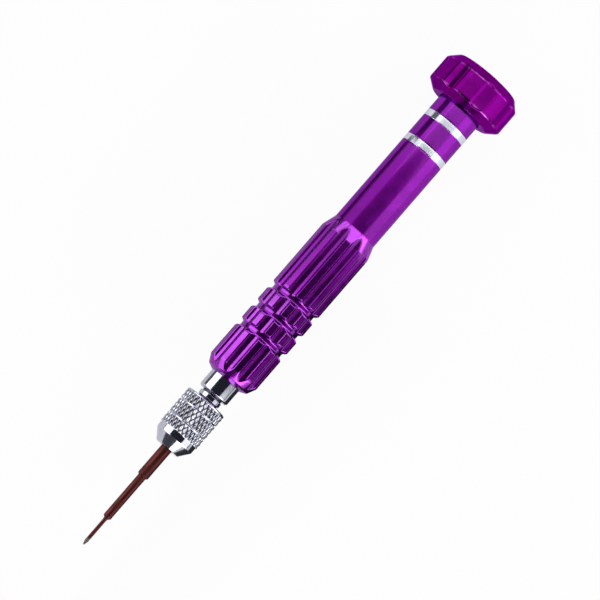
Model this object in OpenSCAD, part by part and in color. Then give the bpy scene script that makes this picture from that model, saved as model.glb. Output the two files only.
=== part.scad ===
// Pocket screwdriver: a knurled collet chuck, a fluted handle that stores spare bits, and a scalloped cap
// that swivels on the tail. Sizes are in millimetres.
// The tool lies along X with its tip towards -X. Stations run along its axis from the tip.

/* [Bits] */
// Length of every bit
bit_len = 40; // [38:0.5:42]
// Length of the fitted bit that stands out of the chuck
bit_reach = 25.6; // [24:0.05:27]
// Diameter of a bit's shank
shank_d = 2.5; // [2.3:0.05:2.6]
// Diameter of the fitted bit's middle
mid_d = 1.8; // [1.4:0.05:2.1]
// Length of the fitted bit's middle
mid_len = 11; // [8:0.1:12]
// Diameter of the fitted bit's fine blade
blade_d = 0.8; // [0.6:0.05:1.1]
// Length of the fitted bit's fine blade
blade_len = 7; // [5:0.1:9]
// Diameter of a stored bit's neck
neck_d = 1.9; // [1.6:0.05:2.1]
// Length of a stored bit's neck
neck_len = 14; // [10:0.5:18]

/* [Chuck nut] */
// Diameter of the nose's front face
nose_d = 5.5; // [5:0.1:6.5]
// Length of the coned nose
nose_len = 2.3; // [2:0.05:3.5]
// Diameter of the plain band behind the nose
plain_d = 8.9; // [8.6:0.05:9.2]
// Length of the plain band
plain_len = 1.4; // [0.8:0.1:2]
// Diameter over the knurl
knurl_d = 9.4; // [9.2:0.05:10.2]
// Length of the knurl
knurl_len = 8.2; // [7.5:0.1:10.5]
// Length of the plain rim behind the knurl
nut_rim_len = 0.4; // [0.3:0.05:0.6]
// Number of knurl lines round the nut, each way
knurl_starts = 30; // [24:2:36]
// Depth of the knurl
knurl_depth = 0.3; // [0.2:0.05:0.4]

/* [Chuck body and collet] */
// Diameter of the threaded neck
thread_d = 5.2; // [5:0.05:5.6]
// Length of neck that shows behind the nut
thread_show = 1.9; // [1:0.1:2.5]
// Diameter of the collar
collar_d = 7; // [6.6:0.1:7.4]
// Length of the collar
collar_len = 4; // [3:0.1:5]
// Diameter of the spigot in the handle
spigot_d = 6; // [5.6:0.1:6.4]
// Length of the spigot in the handle
spigot_len = 11; // [9:0.5:13]
// Length of the collet
collet_len = 12; // [11:0.1:12.5]
// Diameter over the collet's jaws
jaw_d = 4.8; // [4.5:0.05:4.9]
// Diameter of the collet's stem
stem_d = 3.7; // [3.5:0.05:3.9]
// Number of slots across the collet
slot_count = 2; // [2:1:3]
// Width of a collet slot
slot_w = 0.35; // [0.25:0.05:0.5]

/* [Grip] */
// Diameter of the grip
grip_d = 12; // [11.8:0.1:13]
// Length of the grip with both bevels
grip_len = 40; // [39:0.1:44]
// Number of flutes round the grip
flute_count = 10; // [8:1:12]
// Radius of a flute's hollow
flute_r = 1.4; // [1.1:0.05:1.6]
// Depth of a flute
flute_depth = 0.74; // [0.5:0.02:0.8]
// Number of ring grooves
groove_count = 3; // [1:1:4]
// Distance from the grip's front to the middle of the first groove
groove_start = 11; // [9:0.1:13]
// Distance from groove to groove
groove_pitch = 4.9; // [4:0.05:5.5]
// Width of a groove at the surface
groove_w = 2; // [1.6:0.1:2.4]
// Width of a groove at its floor
groove_floor_w = 0.9; // [0.6:0.1:1.2]
// Depth of a groove
groove_depth = 0.8; // [0.5:0.05:0.9]

/* [Tube] */
// Diameter of the tube
tube_d = 10; // [9.8:0.05:10.4]
// Length of tube on the grip, up to the seam
tail_len = 8.7; // [7:0.1:12]
// Diameter of the screwed joint
joint_d = 8.7; // [8.5:0.05:8.8]
// Length of the screwed joint
joint_len = 6; // [5:0.1:7]
// Diameter of the rear tube's bore
tube_bore_d = 8; // [7.6:0.1:8.2]
// Width of a trim ring
trim_w = 1.55; // [1.2:0.05:2]
// Thickness of a trim ring
trim_t = 0.3; // [0.2:0.05:0.4]
// Distance from trim ring to trim ring
trim_pitch = 6.5; // [5:0.1:8]
// Tube that shows between the cap and the nearer trim ring
trim_gap = 3.65; // [2:0.05:5]

/* [Cap] */
// Diameter over the cap's lobes
cap_d = 18.2; // [17:0.1:20]
// Length of the cap up to its rear rim
cap_len = 8.85; // [8.6:0.05:11]
// Height of the dome on the cap's end
dome_h = 0.6; // [0.3:0.05:1]
// Diameter of the cap's front face
cap_front_d = 14; // [12:0.1:16]
// Length of the cap's front bevel
cap_front_len = 1.55; // [1:0.05:2]
// Diameter of the cap's rear rim
cap_rim_d = 14.6; // [13:0.1:16]
// Length of the cap's rear bevel
cap_rear_len = 1.9; // [1.2:0.05:2.4]
// Number of scallops round the cap
scallop_count = 8; // [6:1:10]
// Radius of a scallop's hollow
scallop_r = 3.6; // [2.5:0.1:4.5]
// Depth of a scallop
scallop_depth = 0.45; // [0.3:0.05:0.6]

/* [Storage] */
// Diameter of the handle's storage bore
store_d = 7.4; // [7.1:0.05:7.6]
// Length of the handle's storage bore
store_len = 34.5; // [33:0.1:37]
// Length of the bit magazine
magazine_len = 22; // [20:0.5:26]
// Depth of a magazine pocket
pocket_len = 18; // [17:0.5:18.5]
// Diameter of the circle of pockets
pocket_circle_d = 4.3; // [4.1:0.05:4.4]
// Thickness of the pad that the stored bits meet
pad_len = 1.6; // [1:0.1:2.5]
// Length of the plug behind the pad, up to the tube's end
plug_len = 7.15; // [6:0.05:9]

/* [Swivel] */
// Diameter of the spindle in the cap
journal_d = 4; // [3.6:0.1:4.4]
// Length of the spindle in the cap
journal_len = 5.1; // [4.6:0.1:5.4]
// Diameter of the spindle's root in the plug
root_d = 3.2; // [2.8:0.1:3.4]
// Length of the spindle's root in the plug
root_len = 5; // [4:0.1:5.2]
// Diameter of the thrust ball
ball_d = 1.6; // [1.2:0.1:1.8]
// Thickness of the thrust washer
washer_t = 0.4; // [0.3:0.05:0.6]
// Width of the snap ring's wire, across the spindle
snap_w = 1; // [0.8:0.05:1.1]
// Thickness of the snap ring, along the spindle
snap_t = 0.8; // [0.6:0.05:1]
// Distance from the tube's end to the snap ring
snap_from = 2.9; // [2:0.1:3.2]

/* [Hidden] */
$fn = 96;
// Overrun of every cut
cut = 1;
// Radial clearance of turning and screwed fits
run_clear = 0.05;
// Radial clearance of pressed and fixed fits
press_clear = 0.01;
// Clearance along the axis between pieces that move apart
end_clear = 0.05;

// Small sizes of the bits
tip_len = 0.9;
tip_flat_d = 0.3;
tip_flute_len = 2;
step_chamfer = 0.3;
root_flare = 0.12;
root_flare_len = 0.5;
stored_tip_len = 2.4;
stored_tip_d = 1.4;
slot_tip_t = 0.4;
slot_tip_len = 3.2;
// Share of a cross tip's radius that a flute's hollow has
cross_flute_share = 0.5;
// Share of a lobed tip's radius that a hollow between lobes has
lobe_hollow_share = 0.32;

// Small sizes of the chuck
lip_len = 0.6;
bit_hole_clear = 0.2;
nut_rear_chamfer = 0.2;
knurl_line_w = 0.3;
knurl_line_depth = 0.08;
knurl_seat = 0.25;
jaw_nose_d = 3.5;
jaw_cone_len = 2.6;
jaw_land_len = 1.2;
jaw_back_len = 0.8;
slot_len = 8.5;
seat_lap = 0.5;
collar_chamfer = 0.3;
relief_d = 4.6;
relief_len = 0.45;
neck_ring_len = 0.95;
run_out_len = 0.6;
thread_chamfer = 0.25;
stem_gap = 0.4;
tail_gap = 0.3;
tail_clear = 0.15;
spigot_gap = 0.4;

// Small sizes of the grip
front_face_d = 7.4;
front_bevel_d = 10;
front_bevel_len = 0.6;
front_round_len = 2.5;
rear_bevel_len = 3;
flute_turn = 24;

// Small sizes of the tube, the cap and the swivel
joint_gap = 0.3;
joint_chamfer = 0.25;
trim_slit_w = 0.25;
trim_slit_turn = 0;
tube_lap = 0.75;
skirt_clear = 0.15;
scallop_turn = 11;
washer_inset = 0.3;
snap_gap_angle = 40;
snap_reach = 0.55;
snap_room = 0.1;
pocket_clear = 0.05;
pad_gap = 0.3;
pad_clear = 0.05;
journal_gap = 0.2;
journal_chamfer = 0.3;

// Radii
shank_r = shank_d / 2;
mid_r = mid_d / 2;
blade_r = blade_d / 2;
neck_r = neck_d / 2;
nose_r = nose_d / 2;
plain_r = plain_d / 2;
knurl_r = knurl_d / 2;
knurl_valley_r = knurl_r - knurl_depth;
knurl_core_r = knurl_valley_r - knurl_line_depth;
knurl_seat_r = knurl_core_r - knurl_seat;
thread_r = thread_d / 2;
collar_r = collar_d / 2;
spigot_r = spigot_d / 2;
jaw_r = jaw_d / 2;
jaw_nose_r = jaw_nose_d / 2;
stem_r = stem_d / 2;
grip_r = grip_d / 2;
tube_r = tube_d / 2;
joint_r = joint_d / 2;
tube_bore_r = tube_bore_d / 2;
cap_r = cap_d / 2;
cap_front_r = cap_front_d / 2;
cap_rim_r = cap_rim_d / 2;
store_r = store_d / 2;
journal_r = journal_d / 2;
root_r = root_d / 2;
ball_r = ball_d / 2;
snap_in_r = journal_r + snap_reach - snap_w;
snap_out_r = journal_r + snap_reach;
dome_r = (cap_rim_r * cap_rim_r + dome_h * dome_h) / (2 * dome_h);

// Stations along the axis, from the tip
nut_len = nose_len + plain_len + knurl_len + nut_rim_len;
nut_at = bit_reach;
collet_at = nut_at + lip_len + end_clear;
jaw_land_at = jaw_cone_len;
jaw_back_at = jaw_land_at + jaw_land_len;
stem_at = jaw_back_at + jaw_back_len;
neck_at = collet_at + jaw_back_at + seat_lap;
collar_at = nut_at + nut_len + thread_show;
grip_at = collar_at + collar_len;
shoulder_at = grip_at + grip_len;
seam_at = shoulder_at + tail_len;
joint_end = seam_at + joint_len;
store_at = joint_end - store_len;
pocket_at = store_at + magazine_len - pocket_len;
stored_end = pocket_at + end_clear + bit_len;
pad_at = stored_end + pad_gap;
plug_at = pad_at + pad_len;
tube_end = plug_at + plug_len;
tube_len = tube_end - seam_at;
cap_at = tube_end - tube_lap;
washer_at = tube_end;
snap_at = tube_end + snap_from;
journal_end = tube_end + journal_len;
ball_at = journal_end + end_clear + ball_r;
rim_at = cap_at + cap_len;
tool_len = rim_at + dome_h;
rear_trim_at = cap_at - trim_gap - trim_w;
front_trim_at = rear_trim_at - trim_pitch;

// Knurl rows in the two end bands and the middle band, which two fine lines part
end_row_count = 2;
middle_row_count = 3;
knurl_row_count = 2 * end_row_count + middle_row_count;
knurl_row = (knurl_len - 2 * knurl_line_w) / knurl_row_count;

// Finishes
anodised = "#7a0f8a";
plated = "#c9ccd2";
bright = "#dfe1e6";
bronze = "#5b2f26";
dark_steel = "#4a4744";
brass = "#b08d4a";
black_plastic = "#26262a";
white_plastic = "#e4e2dc";
rubber = "#3a3a3c";

// Places what is drawn along +Z at a station on the tool's axis, which lies along +X
module on_axis(station) {
    translate([-tool_len / 2, 0, cap_r]) rotate([0, 90, 0]) translate([0, 0, station]) children();
}

// A straight hole along the axis that overruns its open end at zero
module bore(r, depth) {
    translate([0, 0, -cut]) cylinder(r = r, h = depth + cut);
}

// Copies spread evenly round the axis, the first at a given turn
module ring_of(count, turn = 0) {
    for (k = [0 : count - 1]) rotate(turn + k * 360 / count) children();
}

// Round hollows at the foot of a tip that starts at zero, which leave wings or lobes between them
module tip_hollows(count, r, hollow_r, depth) {
    ring_of(count, 180 / count) translate([r, 0, -cut]) cylinder(r = hollow_r, h = depth + cut);
}

module driver_bit() {
    shank_at = blade_len + mid_len;
    color(bronze) on_axis(0) difference() {
        rotate_extrude() polygon([
            [0, 0],
            [tip_flat_d / 2, 0],
            [blade_r, tip_len],
            [blade_r, blade_len - root_flare_len],
            [blade_r + root_flare, blade_len],
            [mid_r - step_chamfer, blade_len],
            [mid_r, blade_len + step_chamfer],
            [mid_r, shank_at],
            [shank_r - step_chamfer, shank_at],
            [shank_r, shank_at + step_chamfer],
            [shank_r, bit_len - step_chamfer],
            [shank_r - step_chamfer, bit_len],
            [0, bit_len]
        ]);
        tip_hollows(4, blade_r, blade_r * cross_flute_share, tip_flute_len);
    }
}

// A stored bit's blank, from its tip at zero to its tail
module stored_blank(tip_r, tip_top) {
    rotate_extrude() polygon([
        [0, 0],
        [tip_r, 0],
        [tip_top, stored_tip_len],
        [neck_r, stored_tip_len + step_chamfer],
        [neck_r, neck_len],
        [shank_r - step_chamfer, neck_len],
        [shank_r, neck_len + step_chamfer],
        [shank_r, bit_len - step_chamfer],
        [shank_r - step_chamfer, bit_len],
        [0, bit_len]
    ]);
}

// Stands a stored bit tail first in its magazine pocket
module in_pocket(index) {
    color(dark_steel) on_axis(stored_end) rotate(45 + index * 90)
        translate([pocket_circle_d / 2, 0, 0]) mirror([0, 0, 1]) children();
}

module spare_bit_slotted() {
    lean = atan((neck_r - slot_tip_t / 2) / slot_tip_len);
    in_pocket(0) difference() {
        stored_blank(neck_r, neck_r);
        for (side = [0, 180]) rotate(side) translate([slot_tip_t / 2, 0, 0]) rotate([0, lean, 0])
            translate([0, -neck_d, -cut]) cube([neck_d, 2 * neck_d, slot_tip_len + cut]);
    }
}

module spare_bit_cross() {
    in_pocket(1) difference() {
        stored_blank(tip_flat_d, neck_r);
        tip_hollows(4, neck_r, neck_r * cross_flute_share, stored_tip_len + step_chamfer);
    }
}

module lobed_bit(index, count) {
    tip_r = stored_tip_d / 2;
    in_pocket(index) difference() {
        stored_blank(tip_r, tip_r);
        tip_hollows(count, tip_r, tip_r * lobe_hollow_share, stored_tip_len);
    }
}

module spare_bit_six_lobe() {
    lobed_bit(2, 6);
}

module spare_bit_five_lobe() {
    lobed_bit(3, 5);
}

module collet() {
    color(brass) on_axis(collet_at) difference() {
        rotate_extrude() polygon([
            [shank_r + run_clear, 0],
            [jaw_nose_r, 0],
            [jaw_r, jaw_land_at],
            [jaw_r, jaw_back_at],
            [stem_r, stem_at],
            [stem_r, collet_len],
            [shank_r + run_clear, collet_len]
        ]);
        for (k = [0 : slot_count - 1]) rotate(k * 180 / slot_count)
            translate([-jaw_d, -slot_w / 2, -cut]) cube([2 * jaw_d, slot_w, slot_len + cut]);
    }
}

// A point of the knurl: crests and crossings of its lines take turns round and along the nut
function knurl_point(i, j) =
    let (a = i * 180 / knurl_starts, r = (i + j) % 2 == 0 ? knurl_r : knurl_valley_r)
    [r * cos(a), r * sin(a), j * knurl_row];

function knurl_seat_point(i, j) =
    let (a = i * 180 / knurl_starts)
    [knurl_seat_r * cos(a), knurl_seat_r * sin(a), j * knurl_row];

// One band of diamond knurl, a ring of low pyramids
module knurl_band(rows) {
    ring = 2 * knurl_starts;
    last = ring - 1;
    crest = function (i, j) j * ring + i % ring;
    seat = function (i, end) (rows + 1 + end) * ring + i % ring;
    polyhedron(
        points = concat(
            [for (j = [0 : rows]) for (i = [0 : last]) knurl_point(i, j)],
            [for (j = [0, rows]) for (i = [0 : last]) knurl_seat_point(i, j)]
        ),
        faces = concat(
            [for (j = [0 : rows - 1]) for (i = [0 : last]) (i + j) % 2 == 0
                ? [crest(i, j), crest(i, j + 1), crest(i + 1, j)]
                : [crest(i, j), crest(i + 1, j + 1), crest(i + 1, j)]],
            [for (j = [0 : rows - 1]) for (i = [0 : last]) (i + j) % 2 == 0
                ? [crest(i + 1, j), crest(i, j + 1), crest(i + 1, j + 1)]
                : [crest(i, j), crest(i, j + 1), crest(i + 1, j + 1)]],
            [for (i = [0 : last]) [crest(i, 0), crest(i + 1, 0), seat(i + 1, 0), seat(i, 0)]],
            [for (i = [0 : last]) [seat(i, 1), seat(i + 1, 1), crest(i + 1, rows), crest(i, rows)]],
            [for (i = [0 : last]) [seat(i, 0), seat(i + 1, 0), seat(i + 1, 1), seat(i, 1)]]
        )
    );
}

module chuck_nut() {
    knurl_at = nose_len + plain_len;
    middle_band_at = knurl_at + end_row_count * knurl_row + knurl_line_w;
    rear_band_at = middle_band_at + middle_row_count * knurl_row + knurl_line_w;
    rim_start = knurl_at + knurl_len;
    cone_end = lip_len + jaw_cone_len;
    color(plated) on_axis(nut_at) {
        rotate_extrude() polygon([
            [shank_r + bit_hole_clear, 0],
            [nose_r, 0],
            [plain_r, nose_len],
            [plain_r, knurl_at],
            [knurl_core_r, knurl_at],
            [knurl_core_r, rim_start],
            [knurl_r, rim_start],
            [knurl_r, nut_len - nut_rear_chamfer],
            [knurl_r - nut_rear_chamfer, nut_len],
            [thread_r + run_clear + nut_rear_chamfer, nut_len],
            [thread_r + run_clear, nut_len - nut_rear_chamfer],
            [thread_r + run_clear, cone_end],
            [jaw_r + run_clear, cone_end],
            [jaw_nose_r + run_clear, lip_len],
            [shank_r + bit_hole_clear, lip_len]
        ]);
        translate([0, 0, knurl_at]) knurl_band(end_row_count);
        translate([0, 0, middle_band_at]) knurl_band(middle_row_count);
        translate([0, 0, rear_band_at]) knurl_band(end_row_count);
    }
}

module chuck_body() {
    neck_len_all = collar_at - neck_at;
    ring_end = neck_len_all - relief_len;
    ring_start = ring_end - neck_ring_len;
    seat_len = stem_at - jaw_back_at - seat_lap;
    seat_r = stem_r + (jaw_r - stem_r) * seat_len / jaw_back_len;
    body_len = grip_at + spigot_len - neck_at;
    color(plated) on_axis(neck_at) difference() {
        rotate_extrude() polygon([
            [0, 0],
            [thread_r - thread_chamfer, 0],
            [thread_r, thread_chamfer],
            [thread_r, ring_start - run_out_len],
            [relief_d / 2, ring_start - run_out_len],
            [relief_d / 2, ring_start],
            [thread_r, ring_start],
            [thread_r, ring_end],
            [relief_d / 2, ring_end],
            [relief_d / 2, neck_len_all],
            [collar_r - collar_chamfer, neck_len_all],
            [collar_r, neck_len_all + collar_chamfer],
            [collar_r, grip_at - neck_at],
            [spigot_r, grip_at - neck_at],
            [spigot_r, body_len - collar_chamfer],
            [spigot_r - collar_chamfer, body_len],
            [0, body_len]
        ]);
        cylinder(r1 = seat_r + run_clear, r2 = stem_r + run_clear, h = seat_len);
        bore(stem_r + run_clear, collet_at + collet_len + stem_gap - neck_at);
        bore(shank_r + tail_clear, bit_len + tail_gap - neck_at);
    }
}

// The outline of one ring groove, from its front edge to its rear edge
function groove_edge(middle) = [
    [grip_r, middle - groove_w / 2],
    [grip_r - groove_depth, middle - groove_floor_w / 2],
    [grip_r - groove_depth, middle + groove_floor_w / 2],
    [grip_r, middle + groove_w / 2]
];

module grip_handle() {
    handle_len = joint_end - grip_at;
    color(anodised) on_axis(grip_at) difference() {
        rotate_extrude() polygon(concat(
            [
                [0, 0],
                [front_face_d / 2, 0],
                [front_bevel_d / 2, front_bevel_len],
                [grip_r, front_round_len]
            ],
            [for (k = [0 : groove_count - 1]) each groove_edge(groove_start + k * groove_pitch)],
            [
                [grip_r, grip_len - rear_bevel_len],
                [tube_r, grip_len],
                [tube_r, grip_len + tail_len],
                [joint_r, grip_len + tail_len],
                [joint_r, handle_len - joint_chamfer],
                [joint_r - joint_chamfer, handle_len],
                [0, handle_len]
            ]
        ));
        ring_of(flute_count, flute_turn) translate([grip_r - flute_depth + flute_r, 0, -cut])
            cylinder(r = flute_r, h = grip_len + cut);
        bore(spigot_r + press_clear, spigot_len + spigot_gap);
        translate([0, 0, handle_len - store_len]) cylinder(r = store_r, h = store_len + cut);
    }
}

module bit_magazine() {
    color(black_plastic) on_axis(store_at) difference() {
        cylinder(r = store_r - press_clear, h = magazine_len);
        ring_of(4, 45) translate([pocket_circle_d / 2, 0, magazine_len - pocket_len])
            cylinder(r = shank_r + pocket_clear, h = pocket_len + cut);
    }
}

module rear_tube() {
    color(anodised) on_axis(seam_at) difference() {
        cylinder(r = tube_r, h = tube_len);
        bore(joint_r + run_clear, joint_len + joint_gap);
        bore(tube_bore_r, tube_len + cut);
        for (at = [front_trim_at, rear_trim_at]) translate([0, 0, at - seam_at]) difference() {
            cylinder(r = tube_r + cut, h = trim_w);
            translate([0, 0, -cut]) cylinder(r = tube_r - trim_t, h = trim_w + 2 * cut);
        }
    }
}

// A bright split ring that fills its groove in the tube
module trim_ring(at) {
    color(bright) on_axis(at) difference() {
        cylinder(r = tube_r, h = trim_w);
        translate([0, 0, -cut]) cylinder(r = tube_r - trim_t + press_clear, h = trim_w + 2 * cut);
        rotate(trim_slit_turn) translate([0, -trim_slit_w / 2, -cut])
            cube([tube_d, trim_slit_w, trim_w + 2 * cut]);
    }
}

module front_trim_ring() {
    trim_ring(front_trim_at);
}

module rear_trim_ring() {
    trim_ring(rear_trim_at);
}

module rattle_pad() {
    color(rubber) on_axis(pad_at) cylinder(r = tube_bore_r - pad_clear, h = pad_len);
}

module end_plug() {
    color(brass) on_axis(plug_at) difference() {
        cylinder(r = tube_bore_r - press_clear, h = plug_len);
        translate([0, 0, plug_len - root_len - end_clear])
            cylinder(r = root_r + press_clear, h = root_len + end_clear + cut);
    }
}

module cap_spindle() {
    snap_groove_r = snap_in_r - run_clear;
    color(dark_steel) on_axis(tube_end) rotate_extrude() polygon([
        [0, -root_len],
        [root_r, -root_len],
        [root_r, 0],
        [journal_r, 0],
        [journal_r, snap_from - end_clear],
        [snap_groove_r, snap_from - end_clear],
        [snap_groove_r, snap_from + snap_t + end_clear],
        [journal_r, snap_from + snap_t + end_clear],
        [journal_r, journal_len - journal_chamfer],
        [journal_r - journal_chamfer, journal_len],
        [0, journal_len]
    ]);
}

module thrust_washer() {
    color(white_plastic) on_axis(washer_at) difference() {
        cylinder(r = tube_r - washer_inset, h = washer_t);
        bore(journal_r + run_clear, washer_t + cut);
    }
}

module snap_ring() {
    color(dark_steel) on_axis(snap_at) rotate(snap_gap_angle / 2)
        rotate_extrude(angle = 360 - snap_gap_angle) translate([snap_in_r, 0]) square([snap_w, snap_t]);
}

module thrust_ball() {
    color(plated) on_axis(ball_at) sphere(r = ball_r);
}

module swivel_cap() {
    recess_len = tube_lap + washer_t + end_clear;
    color(anodised) on_axis(cap_at) difference() {
        intersection() {
            rotate_extrude() polygon([
                [0, 0],
                [cap_front_r, 0],
                [cap_r, cap_front_len],
                [cap_r, cap_len - cap_rear_len],
                [cap_rim_r, cap_len],
                [cap_rim_r, cap_len + dome_h],
                [0, cap_len + dome_h]
            ]);
            translate([0, 0, cap_len + dome_h - dome_r]) sphere(r = dome_r, $fn = 200);
        }
        ring_of(scallop_count, scallop_turn) translate([cap_r - scallop_depth + scallop_r, 0, -cut])
            cylinder(r = scallop_r, h = cap_len + dome_h + 2 * cut);
        bore(tube_r + skirt_clear, recess_len);
        bore(journal_r + run_clear, journal_end + journal_gap - cap_at);
        translate([0, 0, snap_at - snap_room - cap_at])
            cylinder(r = snap_out_r + snap_room, h = snap_t + 2 * snap_room);
        bore(ball_r + run_clear, ball_at + ball_r + end_clear - cap_at);
    }
}

driver_bit();
collet();
chuck_nut();
chuck_body();
grip_handle();
bit_magazine();
spare_bit_slotted();
spare_bit_cross();
spare_bit_six_lobe();
spare_bit_five_lobe();
rear_tube();
front_trim_ring();
rear_trim_ring();
rattle_pad();
end_plug();
cap_spindle();
thrust_washer();
snap_ring();
thrust_ball();
swivel_cap();
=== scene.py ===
"""Looks of the pocket screwdriver: turned pieces with flutes, knurl and threads, their finishes, the studio.

Outlines are in millimetres: a station along the tool's axis, which lies along X, and a radius from that axis.
"""
import math

import bpy
from mathutils import Matrix, Vector


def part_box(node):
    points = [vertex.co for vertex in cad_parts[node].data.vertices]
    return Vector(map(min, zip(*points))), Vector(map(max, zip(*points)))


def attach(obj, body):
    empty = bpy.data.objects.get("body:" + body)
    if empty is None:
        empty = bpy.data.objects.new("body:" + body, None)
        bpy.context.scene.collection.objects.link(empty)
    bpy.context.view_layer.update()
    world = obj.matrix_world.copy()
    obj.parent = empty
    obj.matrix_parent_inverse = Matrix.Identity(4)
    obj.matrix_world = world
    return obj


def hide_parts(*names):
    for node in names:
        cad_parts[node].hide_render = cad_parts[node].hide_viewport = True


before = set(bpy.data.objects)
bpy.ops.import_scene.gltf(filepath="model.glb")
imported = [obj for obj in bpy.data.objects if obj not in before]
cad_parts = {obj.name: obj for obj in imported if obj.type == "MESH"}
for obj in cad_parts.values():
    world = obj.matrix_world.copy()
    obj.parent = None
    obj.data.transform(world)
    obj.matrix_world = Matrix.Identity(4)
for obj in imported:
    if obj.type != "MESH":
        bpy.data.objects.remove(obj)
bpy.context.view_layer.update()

MM = 0.001
MICRON = 0.000001

# Bit
TIP_FLAT_R = 0.15
TIP_LEN = 0.9
BLADE_R = 0.4
BLADE_LEN = 7.0
ROOT_FLARE = 0.12
ROOT_FLARE_LEN = 0.5
MID_R = 0.9
MID_LEN = 11.0
BIT_CHAMFER = 0.3
BLADE_ROUND = 0.1
STEP_ROUND = 0.02
TIP_FLUTES = 4
TIP_FLUTE_R = 0.2
TIP_FLUTE_LEN = 1.4
TIP_FLUTE_TURN = 45
TIP_FLUTE_RUN_OUT = 0.5
TIP_FLUTE_EDGE = 0.02
BARE_TIP_LEN = 1.7

# Chuck
NOSE_R = 2.75
NOSE_LEN = 2.3
PLAIN_R = 4.45
PLAIN_LEN = 1.4
LIP_LEN = 0.6
BIT_HOLE_R = 1.45
JAW_NOSE_R = 1.8
JAW_R = 2.45
CONE_END = 3.2
NUT_BORE_R = 2.65
NUT_MOUTH = 0.2
KNURL_STARTS = 30
KNURL_START_POINTS = 12
KNURL_ROW_POINTS = 10
KNURL_DEPTH = 0.3
KNURL_ROWS = 7
KNURL_LINE_ROWS = (2, 5)
KNURL_LINE_W = 0.3
KNURL_LINE_R = 4.32
NUT_RIM_LEN = 0.4
NUT_RIM_CHAMFER = 0.2
THREAD_R = 2.6
THREAD_PITCH = 0.75
THREAD_DEPTH = 0.22
THREAD_CHAMFER = 0.25
RELIEF_R = 2.3
RELIEF_LEN = 0.45
NECK_RING_LEN = 0.95
RUN_OUT_LEN = 0.6
COLLAR_LEN = 4.0
COLLAR_CHAMFER = 0.3
COLLAR_ROUND = 0.12
STEM_BORE_R = 1.9
STEM_BORE_END = 38.65
STEM_MOUTH = 0.2
STEM_MOUTH_LEN = 0.3
SHANK_BORE_R = 1.4
SHANK_BORE_END = 40.3
SPIGOT_R = 3.0
SPIGOT_LEN = 11.0
SPIGOT_FIT = 0.01
SPIGOT_ROOM = 0.4

# Grip
FRONT_FACE_R = 3.7
FRONT_BEVEL_R = 5.0
FRONT_BEVEL_LEN = 0.6
FRONT_ROUND_LEN = 2.5
REAR_BEVEL_LEN = 3.0
BEVEL_ROUND = 0.2
GRIP_LEN = 40.0
FLUTE_COUNT = 10
FLUTE_R = 1.4
FLUTE_DEPTH = 0.74
FLUTE_TURN = 22
FLUTE_EDGE = 0.12
GROOVE_COUNT = 3
GROOVE_START = 11.0
GROOVE_PITCH = 4.9
GROOVE_W = 2.0
GROOVE_FLOOR_W = 0.9
GROOVE_DEPTH = 0.8
JOINT_R = 4.35
JOINT_LEN = 6.0
JOINT_CHAMFER = 0.25
JOINT_THREAD_START = 0.3
JOINT_THREAD_STOP = 0.1
JOINT_PITCH_POINTS = 6
STORE_R = 3.7
STORE_LEN = 34.5

# Tube and cap
TUBE_R = 5.0
SEAM_GAP = 0.03
SEAM_EDGE = 0.02
JOINT_BORE_R = 4.4
JOINT_BORE_LEN = 6.3
TUBE_BORE_R = 4.0
TRIM_T = 0.3
TRIM_FIT = 0.01
CAP_FRONT_R = 7.0
CAP_FRONT_LEN = 1.55
CAP_RIM_R = 7.3
CAP_REAR_LEN = 1.9
CAP_ROUND = 0.2
CAP_FRONT_ROUND = 0.25
DOME_H = 0.6
DOME_PARTS = 12
RECESS_R = 5.15
RECESS_LEN = 1.2
JOURNAL_BORE_R = 2.05
JOURNAL_BORE_LEN = 6.05
BALL_POCKET_R = 0.85
BALL_POCKET_LEN = 7.55
SNAP_ROOM_R = 2.65
SNAP_ROOM_FROM = 3.55
SNAP_ROOM_TO = 4.55
SCALLOP_COUNT = 8
SCALLOP_R = 3.6
SCALLOP_DEPTH = 0.45
SCALLOP_TURN = 11
SCALLOP_EDGE = 0.15

# Rounding of edges: fine edges of plated pieces, soft edges of the anodised ones
FINE = 0.05
SOFT = 0.15

# Longest run of a bore's wall between two rows of points, and parts of a rounded corner
BORE_STEP = 2.0
ARC_PARTS = 4

AXIS_Z = sum(corner.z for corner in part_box("swivel_cap")) / 2


def span(node):
    """Front station, rear station and outer radius of a turned node, in millimetres."""
    low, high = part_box(node)
    return low.x / MM, high.x / MM, (high.z - low.z) / 2 / MM


class Wiring:
    """Adds nodes to a tree, and links or sets their inputs."""

    def __init__(self, tree):
        self.tree = tree

    def feed(self, socket, value):
        if isinstance(value, bpy.types.NodeSocket):
            self.tree.links.new(value, socket)
        else:
            socket.default_value = value

    def add(self, kind, inputs=None, **settings):
        node = self.tree.nodes.new(kind)
        for name, value in settings.items():
            setattr(node, name, value)
        for key, value in (inputs or {}).items():
            self.feed(node.inputs[key], value)
        return node

    def math(self, operation, *values, clamp=False):
        node = self.add("ShaderNodeMath", operation=operation, use_clamp=clamp)
        for socket, value in zip(node.inputs, values):
            self.feed(socket, value)
        return node.outputs[0]

    def ramp(self, value, low, high, to_low=0.0, to_high=1.0):
        """A smooth step of a value between two limits."""
        node = self.add("ShaderNodeMapRange", interpolation_type="SMOOTHSTEP")
        for socket, number in zip(node.inputs, (value, low, high, to_low, to_high)):
            self.feed(socket, number)
        return node.outputs[0]


def new_group(name, kind, sockets):
    """A node group with named inputs and outputs, given as (name, direction, type, default)."""
    tree = bpy.data.node_groups.new(name, kind)
    for label, direction, socket_type, default in sockets:
        socket = tree.interface.new_socket(name=label, in_out=direction, socket_type=socket_type)
        if default is not None:
            socket.default_value = default
    return tree


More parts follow.
